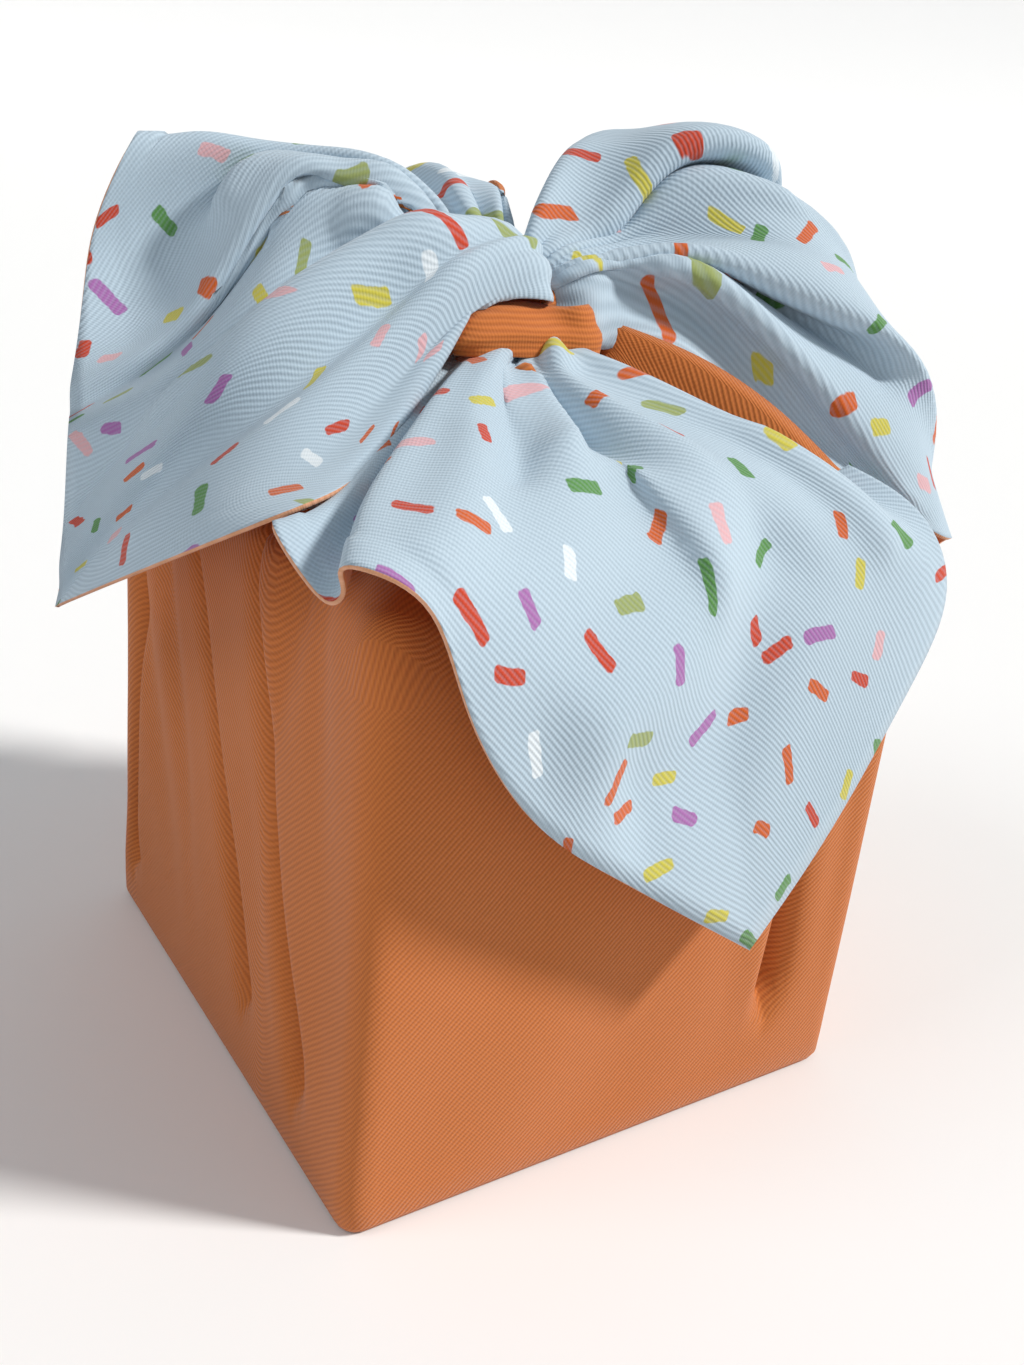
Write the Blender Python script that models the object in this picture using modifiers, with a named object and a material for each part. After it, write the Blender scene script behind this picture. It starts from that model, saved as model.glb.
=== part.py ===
"""A furoshiki: one square of cloth tied round a box, hollow, with its knot and four tails on top.

Run with  blender --background --python part.py  or from the text editor. Blender's units are metres;
the sizes below are millimetres. +Z is up, the origin is the middle of the base, the front face looks
towards -Y and the left face towards -X.
"""
import bpy
import bmesh
import numpy as np

MM = 0.001

# The wrapped box, over the cloth, and the thickness of the sheet.
WIDTH = 102.0
DEPTH = 109.0
HEIGHT = 104.0
THICKNESS = 1.6

# Radius of each upright edge, at the foot and at the top, in the order the outline passes them.
EDGES = (
    # edge           side_x  side_y  foot   top
    ("front left",       -1,     -1,  5.0,  6.0),
    ("front right",       1,     -1,  5.0,  7.0),
    ("back right",        1,      1,  5.0, 11.0),
    ("back left",        -1,      1,  5.0, 14.0),
)

# The cloth narrows to a neck over the middle of the top, and the core of the knot sits on it.
NECK_RADIUS = 7.5
NECK_Y = 1.0
CORE_CENTRE = (0.0, 1.0, 132.0)
CORE_RADII = (11.5, 9.5, 9.0)
ROOT_SHARE = 0.6

# A tail is pulled tight at the knot: it starts at this share of its thickness, and is full in this
# share of its length.
TIGHT_THICKNESS = 0.35
TIGHT_LENGTH = 0.3

# Times that a tail's bends are eased across it, so that none is tighter than the sheet is thick.
EASING = 2

# How finely each sheet is divided, and how near two corners are when the bag's seam merges them.
SEAM_GAP = 0.01
COLUMN_GAP = 8.0
TAIL_COLUMNS = 20
TAIL_ROWS = 11
CORE_SEGMENTS = 14
CORE_RINGS = 8

ORANGE = (0.62, 0.20, 0.06, 1.0)
CLOTH_ROUGHNESS = 0.85

# The bag from the middle of its base up to the neck, a ring in each row. inset: mm in from the wall,
# z: mm up, round: 0 is the box's outline and 1 the neck's circle.
BAG_RINGS = (
    # ring           inset     z   round
    ("base middle",   30.0,   0.0,  0.0),
    ("base edge",      2.5,   0.0,  0.0),
    ("foot",           0.0,   3.2,  0.0),
    ("wall 1",         0.0,  26.0,  0.0),
    ("wall 2",         0.0,  50.0,  0.0),
    ("wall 3",         0.0,  73.0,  0.0),
    ("wall 4",         0.2,  93.0,  0.0),
    ("shoulder",       1.8, 102.2,  0.0),
    ("top rim",        5.5, 104.6, 0.04),
    ("top outer",      6.0, 107.0, 0.27),
    ("top middle",     6.0, 109.5, 0.52),
    ("top inner",      6.0, 113.5, 0.78),
    ("neck foot",      6.0, 120.0, 0.96),
    ("neck top",       6.0, 129.0,  1.0),
)
FLAT_RINGS = 2
SHOULDER_RING = 7

# Folds of the walls, a fold in each row. They are deepest at the top and fade to nothing on the way
# down. at_top and at_foot: mm along the outline, from the front left edge towards the right,
# fades_at: height where it ends, depth and width of its trough, lap: how far its lip leans over it.
WALL_FOLDS = (
    # fold                    at_top  at_foot  fades_at  depth  width   lap
    ("front right, low",        68.0,    80.0,     18.0,   1.6,   3.6,  0.8),
    ("front right, middle",     80.0,    90.0,     10.0,   2.4,   3.3,  1.2),
    ("front right, high",       90.0,    98.0,     30.0,   3.0,   3.0,  1.5),
    ("right, near front",      122.0,   114.0,     14.0,   3.2,   3.0, -1.5),
    ("right, middle",          160.0,   150.0,     24.0,   3.0,   3.3,  1.5),
    ("right, near back",       190.0,   202.0,     10.0,   3.4,   3.0,  1.5),
    ("back, first",            226.0,   220.0,     14.0,   3.4,   3.0, -1.5),
    ("back, middle",           258.0,   248.0,     30.0,   2.6,   3.6, -1.5),
    ("back, last",             291.0,   302.0,     12.0,   3.4,   3.0,  1.5),
    ("left, back edge",        330.0,   319.0,     12.0,   3.8,   3.0,  1.8),
    ("left, middle",           361.0,   376.0,     30.0,   3.2,   3.0,  1.8),
    ("left, deep",             383.5,   386.0,     34.0,   4.8,   3.3,  2.0),
)
FOLD_FULL_HEIGHT = 96.0
# Columns of the mesh across a fold, in widths of its trough, and round an upright edge, in mm.
FOLD_COLUMNS = (-1.6, -0.8, 0.0, 0.8, 1.6)
EDGE_COLUMNS = (-5.0, 0.0, 5.0)

# Where two tails part, the gathered cloth between them stands up in a narrow ridge on the top. from_x,
# from_y: its outer end, to_x, to_y: its end at the neck, rise: how far it stands up half way.
CORNER_GATHERS = (
    # gather         from_x  from_y   to_x   to_y  rise
    ("front left",    -48.0,  -51.0,  -6.0, -12.0,  5.0),
    ("front right",    49.0,  -50.0,   4.0, -12.5, 13.0),
    ("back left",     -44.0,   46.0,  -6.0,  12.0,  6.0),
)
GATHER_WIDTH = 6.0

# At the back right the cloth's own hem stops short of the knot and leaves a slot in the top. It runs
# between these two rings, this far to each side of this place on the outline.
SLOT_RINGS = (10, 12)
SLOT_AT = 226.0
SLOT_HALF_WIDTH = 9.0

# Each tail is a fan of lines that run from the knot out to the cloth's cut edge. A row is one line, on
# a ridge or in a valley, and gives points of it in mm, x, y and z, from the knot to the edge.
LEFT_TAIL = (
    # line                    at the knot          near             half way             edge
    ("tucked hem",          (-3, 9, 139),     (-8, 24, 140),      (-16, 38, 136),      (-26, 48, 128)),
    ("back slope",          (-4, 9, 141),     (-12, 26, 146),     (-26, 42, 146),      (-42, 54, 140)),
    ("crest",               (-4.5, 11, 140),  (-15, 19, 150),     (-32, 33, 153.5),    (-50, 41, 152)),
    ("front of crest",      (-6.5, 11, 139),  (-17, 20, 147.5),   (-35, 31, 148),      (-56, 43, 139)),
    ("dip behind roll",     (-8.5, 10, 138),  (-19, 21, 147),     (-37, 35, 146.5),    (-60, 41, 126)),
    ("roll",                (-10, 9, 138),    (-23, 20, 151),     (-41, 31, 142.5),    (-66, 22, 111)),
    ("hollow under roll",   (-11, 7.5, 136),  (-23, 18, 141),     (-37, 29, 134),      (-67, 28, 104)),
    ("long valley",         (-10, 2, 132),    (-22, 11, 131),     (-43, 24, 119),      (-68, 25, 97)),
    ("upper panel",         (-1, 3.5, 142.5), (-13, 3, 143),      (-42, 12, 120),      (-68, 30, 84)),
    ("to the corner",       (4, 1.5, 141),    (-9, 0, 143.8),     (-50, 11, 111),      (-67, 37, 73)),
    ("lower panel",         (6, -0.5, 139),   (-8, -3, 142),      (-53, -5, 109),      (-65, -8, 96)),
    ("over the knot",       (8, -2, 137),     (-6, -5, 141),      (-40, -12, 117),     (-58, -36, 111)),
    ("front of the knot",   (9, -4, 135.5),   (-5, -7, 138.5),    (-30, -12, 122),     (-44, -29, 114)),
    ("front hem",           (9, -7, 133.4),   (0, -7, 134.3),     (-13, -7, 130.5),    (-26, -17, 123.5)),
)
FRONT_TAIL = (
    # line                    at the knot          near             half way             edge
    ("tucked hem",          (-9, -1, 126),    (-22, -8, 122),     (-36, -16, 115),     (-47, -14, 108)),
    ("turned corner",       (-10, -3, 126.5), (-24, -14, 123),    (-42, -32, 117),     (-58, -44, 108)),
    ("left ridge",          (-12, -6, 127.5), (-31, -25, 124.5),  (-49, -45, 119),     (-59, -56, 109)),
    ("lifted hem",          (-11, -8, 128),   (-25, -25, 123),    (-45, -50, 117),     (-54.5, -61, 114.5)),
    ("left panel",          (-9, -9, 128),    (-22, -28, 124),    (-37, -53, 117),     (-50, -65, 112.5)),
    ("left side",           (-8, -9, 128),    (-16, -26, 125),    (-29, -58, 115),     (-45, -66, 98)),
    ("lip of crease",       (-6, -10, 128),   (-12, -25, 122.5),  (-20, -64, 106),     (-30, -65, 77)),
    ("to the corner",       (-4, -10, 127),   (-11, -28, 120.5),  (-3, -63, 102),      (15, -64, 42)),
    ("broad valley",        (-1, -10, 127),   (-1, -25, 120),     (14, -58, 105),      (31, -64, 71)),
    ("right shoulder",      (2, -11, 127.5),  (6, -24, 126),      (33, -42, 113),      (46, -61, 99)),
    ("right ridge",         (4, -12, 128),    (4, -23, 130),      (24, -36, 120),      (47, -49, 108.5)),
    ("right slope",         (6, -12, 128.5),  (8.5, -22, 130),    (21, -34, 122.5),    (37, -42, 116)),
    ("right hem",           (8, -11, 129),    (12, -18, 131),     (17, -25, 129),      (24, -33, 124.5)),
)
RIGHT_TAIL = (
    # line               at the knot          near            half way             far              edge
    ("back hem",       (2, 4, 139),     (9, 12, 140),     (20, 24, 140),     (32, 34, 134),   (44, 42, 122)),
    ("back slope",     (2, 3, 140.5),   (10, 11, 148),    (20, 18, 155),     (38, 30, 152),   (56, 42, 138)),
    ("first crest",    (3, 2, 140.5),   (13, 8, 150),     (26, 15, 158.8),   (44, 20, 157),   (64, 32, 142)),
    ("main crest",     (4, 1, 140),     (13, -4, 145.5),  (30, -3, 160.6),   (46, 1, 160.5),  (68, 22, 138)),
    ("pocket",         (5, 0, 139),     (16, 2, 142.5),   (32, 3, 150),      (54, 4, 153),    (71, 14, 128)),
    ("pocket rim",     (6, -1, 139),    (18, -4, 145),    (38, -13, 153.5),  (52, -10, 152.5), (75, 12, 96)),
    ("to the corner",  (7, -3, 138.5),  (21, -9, 144),    (44, -22, 146),    (57, -24, 141),  (75, 0, 64)),
    ("crease",         (7, -5, 138),    (17, -9, 140.5),  (38, -22, 136.5),  (60, -35, 127),  (72, -26, 86)),
    ("pleat ridge",    (7, -6, 136.5),  (14, -10, 141.5), (34, -28, 133.5),  (60, -42, 119),  (61, -50, 103)),
    ("pleat valley",   (7, -8, 134),    (14, -12, 133),   (32, -18, 124),    (48, -33, 115),  (56, -46, 104)),
    ("front hem",      (8, -9, 131),    (15, -14, 130.5), (30, -25, 121.7),  (40, -28, 115),  (46, -36, 110)),
)
BACK_TAIL = (
    # line                    at the knot          near             half way             edge
    ("left hem",            (-5, 8, 138),     (-14, 24, 144),     (-34, 44, 128),      (-44, 56, 110)),
    ("left ridge",          (-4, 9, 139),     (-9, 27, 150),      (-30, 56, 125),      (-38, 68, 96)),
    ("left valley",         (-3, 9, 140),     (-3, 28, 146),      (-18, 60, 118),      (-24, 70, 72)),
    ("to the corner",       (-1, 9, 141),     (2, 30, 150.5),     (-6, 62, 122),       (-4, 69, 46)),
    ("right valley",        (1, 9, 141),      (9, 27, 146),       (8, 60, 117),        (16, 70, 70)),
    ("right ridge",         (3, 9, 141),      (10, 27, 148),      (19, 54, 124),       (32, 66, 92)),
    ("right slope",         (4, 9, 140),      (9, 25, 146),       (20, 46, 128),       (36, 58, 106)),
    ("right hem",           (4, 9, 138),      (8, 21, 141),       (16, 38, 128),       (28, 50, 112)),
)
TAILS = {"left": LEFT_TAIL, "front": FRONT_TAIL, "right": RIGHT_TAIL, "back": BACK_TAIL}


def spline(knots, values, at):
    """Natural cubic spline. values: one array of any shape for each knot, at: where it is wanted."""
    knots, at = np.asarray(knots, float), np.asarray(at, float)
    values = np.asarray(values, float)
    count, gap = len(knots), np.diff(knots)
    flat = values.reshape(count, -1)
    bend = np.zeros_like(flat)
    if count > 2:
        inner = np.arange(count - 2)
        system = np.zeros((count - 2, count - 2))
        system[inner, inner] = 2 * (gap[:-1] + gap[1:])
        system[inner[1:], inner[:-1]] = gap[1:-1]
        system[inner[:-1], inner[1:]] = gap[1:-1]
        slope = np.diff(flat, axis=0) / gap[:, None]
        bend[1:-1] = np.linalg.solve(system, 6 * np.diff(slope, axis=0))
    span = np.clip(np.searchsorted(knots, at, side="right") - 1, 0, count - 2)
    width = gap[span][:, None]
    low = (knots[span + 1] - at)[:, None] / width
    high = 1 - low
    curve = ((low ** 3 - low) * bend[span] + (high ** 3 - high) * bend[span + 1]) * width ** 2 / 6
    return (low * flat[span] + high * flat[span + 1] + curve).reshape((len(at),) + values.shape[1:])


def running(steps):
    """Distances along a chain of steps, from 0 to 1."""
    total = np.concatenate([[0.0], np.cumsum(steps)])
    return total / total[-1]


def fan(table):
    """A tail as a grid of points. The lines are joined smoothly side by side, except at the cut edge,
    which turns sharply at its lowest point, the corner of the cloth. Each line starts in the core."""
    stations = np.array([row[1:] for row in table], float)
    steps = np.linalg.norm(np.diff(stations, axis=0), axis=2)
    across = running(np.sqrt(steps[:, -2:].mean(axis=1)))
    tip = int(np.argmin(stations[:, -1, 2]))
    before = int(round(across[tip] * (TAIL_COLUMNS - 1)))
    at = np.concatenate([np.linspace(0, across[tip], before + 1),
                         np.linspace(across[tip], 1, TAIL_COLUMNS - before)[1:]])
    lines = spline(across, stations, at)
    lines[:before + 1, -1] = spline(across[:tip + 1], stations[:tip + 1, -1], at[:before + 1])
    lines[before:, -1] = spline(across[tip:], stations[tip:, -1], at[before:])
    root = lines[:, :1] + ROOT_SHARE * (np.array(CORE_CENTRE) - lines[:, :1])
    lines = np.concatenate([root, lines], axis=1)
    along = running(np.linalg.norm(np.diff(lines, axis=1), axis=2).mean(axis=0))
    grid = spline(along, lines.transpose(1, 0, 2), np.linspace(0, 1, TAIL_ROWS))
    for _ in range(EASING):
        bends = grid[:, 2:] + grid[:, :-2] - 2 * grid[:, 1:-1]
        if before < TAIL_COLUMNS - 1:
            bends[-1, before - 1] = 0
        grid[:, 1:-1] += bends / 4
    return grid


def outline(places, height):
    """Points of the box's outline with rounded upright edges, at places mm along the sharp one."""
    x_half, y_half = WIDTH / 2, DEPTH / 2
    corners = np.array([(-x_half, -y_half), (x_half, -y_half), (x_half, y_half), (-x_half, y_half),
                        (-x_half, -y_half)])
    starts = np.concatenate([[0], np.cumsum(np.linalg.norm(np.diff(corners, axis=0), axis=1))])
    sharp = np.stack([np.interp(places, starts, corners[:, axis]) for axis in (0, 1)], axis=1)
    rounded = sharp.copy()
    for _, side_x, side_y, foot, top in EDGES:
        radius = foot + (top - foot) * min(1.0, height / HEIGHT)
        centre = np.array([side_x * (x_half - radius), side_y * (y_half - radius)])
        away = sharp - centre
        near = (away[:, 0] * side_x > 0) & (away[:, 1] * side_y > 0)
        reach = np.linalg.norm(away[near], axis=1)[:, None]
        rounded[near] = centre + away[near] / reach * radius
    return rounded


def inward(places):
    """Unit vectors from the outline's walls to the inside, turning evenly past each upright edge."""
    edges = np.array([0.0, WIDTH, WIDTH + DEPTH, 2 * WIDTH + DEPTH, 2 * (WIDTH + DEPTH)])
    blend = 6.0
    knots = np.concatenate([[edges[0]], np.repeat(edges[1:-1], 2) + np.tile([-blend, blend], 3), [edges[-1]]])
    turns = np.array([90.0, 90.0, 180.0, 180.0, 270.0, 270.0, 360.0, 360.0])
    angle = np.radians(np.interp(places, knots, turns))
    return np.stack([np.cos(angle), np.sin(angle)], axis=1)


def fold_places(height):
    """Where the folds' troughs lie along the outline at a height."""
    table = np.array([row[1:] for row in WALL_FOLDS])
    share = np.clip((height - table[:, 2]) / (FOLD_FULL_HEIGHT - table[:, 2]), 0, 1)
    return table[:, 1] + (table[:, 0] - table[:, 1]) * share, share


def columns():
    """Places of the mesh's columns on the outline at the top: across each fold and round each upright
    edge, and in between wherever the gap would be wide."""
    places = set()
    for _, at_top, _, _, _, width, _ in WALL_FOLDS:
        places.update(at_top + step * width for step in FOLD_COLUMNS)
    for edge in (0.0, WIDTH, WIDTH + DEPTH, 2 * WIDTH + DEPTH):
        places.update((edge + step) % (2 * (WIDTH + DEPTH)) for step in EDGE_COLUMNS)
    places.update((SLOT_AT - SLOT_HALF_WIDTH, SLOT_AT + SLOT_HALF_WIDTH))
    kept = []
    for place in sorted(places):
        if not kept or place - kept[-1] > 1.2:
            kept.append(place)
    kept.append(2 * (WIDTH + DEPTH))
    filled = []
    for low, high in zip(kept[:-1], kept[1:]):
        parts = int(np.ceil((high - low) / COLUMN_GAP))
        filled.extend(np.linspace(low, high, parts + 1)[:-1])
    return np.array(filled)


def bag():
    """The bag's rings as a grid of points, from the base to the neck."""
    top = columns()
    around = 2 * (WIDTH + DEPTH)
    edges = [0.0, WIDTH, WIDTH + DEPTH, 2 * WIDTH + DEPTH, around]
    top_folds, _ = fold_places(FOLD_FULL_HEIGHT)
    rings = []
    for index, (_, inset, height, roundness) in enumerate(BAG_RINGS):
        folds, share = fold_places(height)
        places = np.interp(top, np.sort(np.concatenate([edges, top_folds])),
                           np.sort(np.concatenate([edges, folds])))
        inside = inward(places)
        along = np.stack([inside[:, 1], -inside[:, 0]], axis=1)
        points = outline(places, height) * (1 - inset / np.array([WIDTH / 2, DEPTH / 2]))
        if index > FLAT_RINGS:
            over_top = max(0, index - SHOULDER_RING)
            for (_, _, _, _, depth, width, lap), place, strength in zip(WALL_FOLDS, folds, share):
                away = (places - place) / width
                fade = strength * max(0.0, 1 - 0.3 * over_top)
                points += inside * (depth * fade * np.exp(-away ** 2))[:, None]
                points -= along * (lap * fade * np.exp(-(away - np.sign(lap)) ** 2))[:, None]
        radial = points - np.array([0.0, NECK_Y])
        radial /= np.linalg.norm(radial, axis=1)[:, None]
        circle = np.array([0.0, NECK_Y]) + NECK_RADIUS * radial
        points = points * (1 - roundness) + circle * roundness
        z = np.full(len(points), height)
        if 0 < roundness < 1:
            for _, from_x, from_y, to_x, to_y, rise in CORNER_GATHERS:
                start, run = np.array([from_x, from_y]), np.array([to_x - from_x, to_y - from_y])
                length = np.linalg.norm(run)
                share = np.clip((points - start) @ run / length ** 2, 0, 1)
                aside = np.linalg.norm(points - start - share[:, None] * run, axis=1)
                z += rise * np.sin(np.pi * share) * np.exp(-(aside / GATHER_WIDTH) ** 2)
        rings.append(np.column_stack([points, z]))
    return np.array(rings), top


def laid_grid(points):
    """A flat grid whose corners are then moved to the points, row by row."""
    rows, count = points.shape[:2]
    shape = bmesh.new()
    bmesh.ops.create_grid(shape, x_segments=count - 1, y_segments=rows - 1, size=1.0)
    for vert, point in zip(shape.verts, (points * MM).reshape(-1, 3)):
        vert.co = point
    return shape


def thickened(name, shape, material, side):
    """An object made of an open surface and thickened with Solidify. side: -1 inwards, 0 both ways."""
    mesh = bpy.data.meshes.new(name)
    shape.to_mesh(mesh)
    shape.free()
    mesh.materials.append(material)
    thing = bpy.data.objects.new(name, mesh)
    solid = thing.modifiers.new("thickness", "SOLIDIFY")
    solid.thickness = THICKNESS * MM
    solid.offset = side
    solid.use_even_offset = False
    return thing


def bag_object(name, material):
    """The bag: a grid rolled up and merged along its seam, cut out at the slot and filled at the base."""
    points, places = bag()
    count = len(places) + 1
    shape = laid_grid(np.concatenate([points, points[:, :1]], axis=1))
    in_slot = []
    for face in shape.faces:
        row = min(vert.index for vert in face.verts) // count
        column = min(vert.index % count for vert in face.verts)
        middle = (places[column] + places[(column + 1) % len(places)]) / 2
        if SLOT_RINGS[0] <= row < SLOT_RINGS[1] and abs(middle - SLOT_AT) < SLOT_HALF_WIDTH:
            in_slot.append(face)
    bmesh.ops.delete(shape, geom=in_slot, context="FACES")
    bmesh.ops.remove_doubles(shape, verts=shape.verts, dist=SEAM_GAP * MM)
    base_rim = [edge for edge in shape.edges if edge.is_boundary and max(v.co.z for v in edge.verts) <= 0]
    bmesh.ops.holes_fill(shape, edges=base_rim, sides=0)
    return thickened(name, shape, material, -1.0)


def tail_object(name, table, material):
    """A tail: a grid laid on its fan of lines, thinner where it is pulled tight at the knot."""
    points = fan(table)
    rows, count = points.shape[:2]
    thing = thickened(name, laid_grid(points), material, 0.0)
    group = thing.vertex_groups.new(name="thickness")
    for row in range(rows):
        share = min(1.0, row / (rows - 1) / TIGHT_LENGTH)
        group.add(list(range(row * count, (row + 1) * count)), share, "REPLACE")
    thing.modifiers["thickness"].vertex_group = group.name
    thing.modifiers["thickness"].thickness_vertex_group = TIGHT_THICKNESS
    return thing


def core(material):
    """The solid heart of the knot, where the cloth is pulled tight, as an ellipsoid."""
    mesh = bpy.data.meshes.new("knot core")
    shape = bmesh.new()
    bmesh.ops.create_uvsphere(shape, u_segments=CORE_SEGMENTS, v_segments=CORE_RINGS, radius=1.0)
    bmesh.ops.scale(shape, vec=[radius * MM for radius in CORE_RADII], verts=shape.verts)
    shape.to_mesh(mesh)
    shape.free()
    mesh.materials.append(material)
    thing = bpy.data.objects.new("knot core", mesh)
    thing.location = [value * MM for value in CORE_CENTRE]
    return thing


for old in list(bpy.data.objects):
    bpy.data.objects.remove(old, do_unlink=True)

furoshiki_parts = bpy.data.collections.new("furoshiki")
joined_parts = bpy.data.collections.new("joined into it")
bpy.context.scene.collection.children.link(furoshiki_parts)
bpy.context.scene.collection.children.link(joined_parts)

cloth = bpy.data.materials.new("cloth")
cloth.use_nodes = True
surface = cloth.node_tree.nodes["Principled BSDF"]
surface.inputs["Base Color"].default_value = ORANGE
surface.inputs["Roughness"].default_value = CLOTH_ROUGHNESS
surface.inputs["Metallic"].default_value = 0.0

furoshiki = bag_object("furoshiki", cloth)
furoshiki_parts.objects.link(furoshiki)

pieces = [tail_object(name + " tail", table, cloth) for name, table in TAILS.items()] + [core(cloth)]
for piece in pieces:
    joined_parts.objects.link(piece)
    piece.hide_render = True
    piece.display_type = "WIRE"
join = furoshiki.modifiers.new("tails and knot", "BOOLEAN")
join.operation = "UNION"
join.solver = "EXACT"
join.operand_type = "COLLECTION"
join.collection = joined_parts
join.use_self = True
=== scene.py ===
import bmesh
import bpy
import numpy as np
from mathutils import Matrix, Vector


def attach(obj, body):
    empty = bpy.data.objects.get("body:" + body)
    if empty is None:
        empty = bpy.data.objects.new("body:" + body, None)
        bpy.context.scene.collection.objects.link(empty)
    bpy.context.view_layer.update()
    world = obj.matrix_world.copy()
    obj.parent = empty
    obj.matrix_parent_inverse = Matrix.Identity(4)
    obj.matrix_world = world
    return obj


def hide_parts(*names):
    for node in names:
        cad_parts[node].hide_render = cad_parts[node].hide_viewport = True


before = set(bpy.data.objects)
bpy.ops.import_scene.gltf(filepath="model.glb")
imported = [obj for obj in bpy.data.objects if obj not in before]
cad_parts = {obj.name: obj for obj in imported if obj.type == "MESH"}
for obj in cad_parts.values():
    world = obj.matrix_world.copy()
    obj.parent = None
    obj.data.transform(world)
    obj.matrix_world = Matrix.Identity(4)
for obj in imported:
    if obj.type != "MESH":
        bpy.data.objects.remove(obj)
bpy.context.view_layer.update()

# ---------------------------------------------------------------------------------------------------
# The cloth: one square of fine-ribbed reversible cotton, terracotta orange outside and pale blue with
# a confetti print inside, cut edge to edge. It is tied up as a square parcel: its four corners are
# gathered over the top, knotted, and opened out into four loose tails. Sizes are in mm.
# ---------------------------------------------------------------------------------------------------
# The bag of the parcel: flat base, four walls, and the top, gathered to a neck.
WIDTH, DEPTH, HEIGHT = 102.0, 109.0, 104.0
AROUND = 2 * (WIDTH + DEPTH)
NECK_RADIUS, NECK_Y = 8.0, 1.0
EDGES = (
    # upright edge   side_x  side_y  foot   top (its radius)
    ("front left",       -1,     -1,  3.5,  5.0),
    ("front right",       1,     -1,  4.0,  6.0),
    ("back right",        1,      1,  4.5, 10.0),
    ("back left",        -1,      1,  4.5, 13.0),
)
# From the middle of the base up to the neck. round: 0 is the outline of the walls, 1 the neck's.
BASE_MIDDLE = 50.9
BAG_RINGS = (
    # ring                inset     z   round
    ("base middle", BASE_MIDDLE,   0.0,  0.0),
    ("base edge",           1.6,   0.0,  0.0),
    ("foot turn",           0.4,   0.4,  0.0),
    ("foot",                0.0,   1.7,  0.0),
    ("wall",                0.0,  95.0,  0.0),
    ("shoulder",            1.2, 102.0,  0.0),
    ("top rim",             5.5, 105.0, 0.04),
    ("top outer",           6.0, 107.0, 0.27),
    ("top middle",          6.0, 109.5, 0.52),
    ("top inner",           6.0, 113.5, 0.78),
    ("neck foot",           6.0, 120.0, 0.96),
    ("neck top",            6.0, 129.0,  1.0),
)
# Rows of the grid: on the base, then by steps up the wall, and by closer ones over the shoulder. The
# turn from the walls' outline to the neck's counts as so many mm of surface.
BASE_ROWS, BASE_LIP = (0.0, 14.0, 30.0), 1.5
WALL_STEP, TOP_STEP, SHOULDER_Z, ROUNDING_RUN = 4.4, 2.6, 92.0, 50
PROFILE_POINTS, PROFILE_SMOOTHINGS = 3000, 120
# Over the top the cloth is gathered towards the neck in small folds.
TOP_FOLDS, TOP_FOLD_HEIGHT = 38, 1.8

# Where the cloth is wider than the walls it is laid over itself in knife pleats. The places are mm
# along the outline from the front left edge towards the right, at four heights; tuck: how far the
# hidden layers reach back at the top, side: which side of the lip they lie on. They vanish at fades_at.
PLEATS = (
    # pleat                 z 98   z 74   z 50   z 24  fades_at  tuck  side
    ("left, middle",       -64.0, -58.0, -50.0, -42.0,    16.0,  50.0,   1),
    ("left, deep",         -38.0, -33.5, -28.0, -21.0,    12.0,  60.0,   1),
    ("front right, high",   81.0,  82.0,  83.0,  84.0,    16.0,  60.0,  -1),
    ("right, near front",  124.0, 121.0, 119.0, 118.0,    10.0,  60.0,  -1),
    ("right, middle",      157.0, 154.0, 152.0, 150.0,    28.0,  40.0,   1),
    ("right, near back",   187.0, 192.0, 195.0, 197.0,    10.0,  58.0,   1),
    ("back, first",        231.0, 228.0, 226.0, 225.0,    10.0,  60.0,  -1),
    ("back, middle",       262.0, 257.0, 253.0, 250.0,    30.0,  50.0,  -1),
    ("back, last",         293.0, 297.0, 299.0, 300.0,    12.0,  58.0,   1),
    ("left, back edge",    333.0, 330.0, 326.0, 322.0,    10.0,  60.0,   1),
)
PLEAT_HEIGHTS = (98.0, 74.0, 50.0, 24.0)
# Across a pleat, in mm from its lip: flat is the place before the pleat is laid, laid the place after
# (tucked: plus this share of the tuck), depth: how far inside the wall it lies, columns: how many
# columns of the grid lead to it.
PLEAT_SECTION = (
    # point            flat   laid  tucked  depth  columns
    ("before",         -7.0,  -7.0,    0.0,   0.0,  0),
    ("falling",        -4.5,  -4.0,    0.0,   0.4,  2),
    ("valley",         -2.5,  -1.0,    0.0,   2.2,  3),
    ("under",          -1.0,   1.5,    0.0,   5.2,  3),
    ("turn inside",     0.5,   0.0,    1.0,   9.6,  6),
    ("turned",          1.2,   0.0,    1.0,   8.6,  1),
    ("back under",      2.4,   1.6,    0.0,   4.0,  6),
    ("inside lip",      3.6,  -0.6,    0.0,   1.5,  2),
    ("lip",             4.6,  -1.4,    0.0,   0.2,  3),
    ("over",            5.6,   0.2,    0.0,  -0.5,  3),
    ("after",           8.0,   4.5,    0.0,  -0.3,  3),
    ("flat again",     11.0,  11.0,    0.0,   0.0,  2),
)
FILL_COLUMN = 2.2

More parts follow.
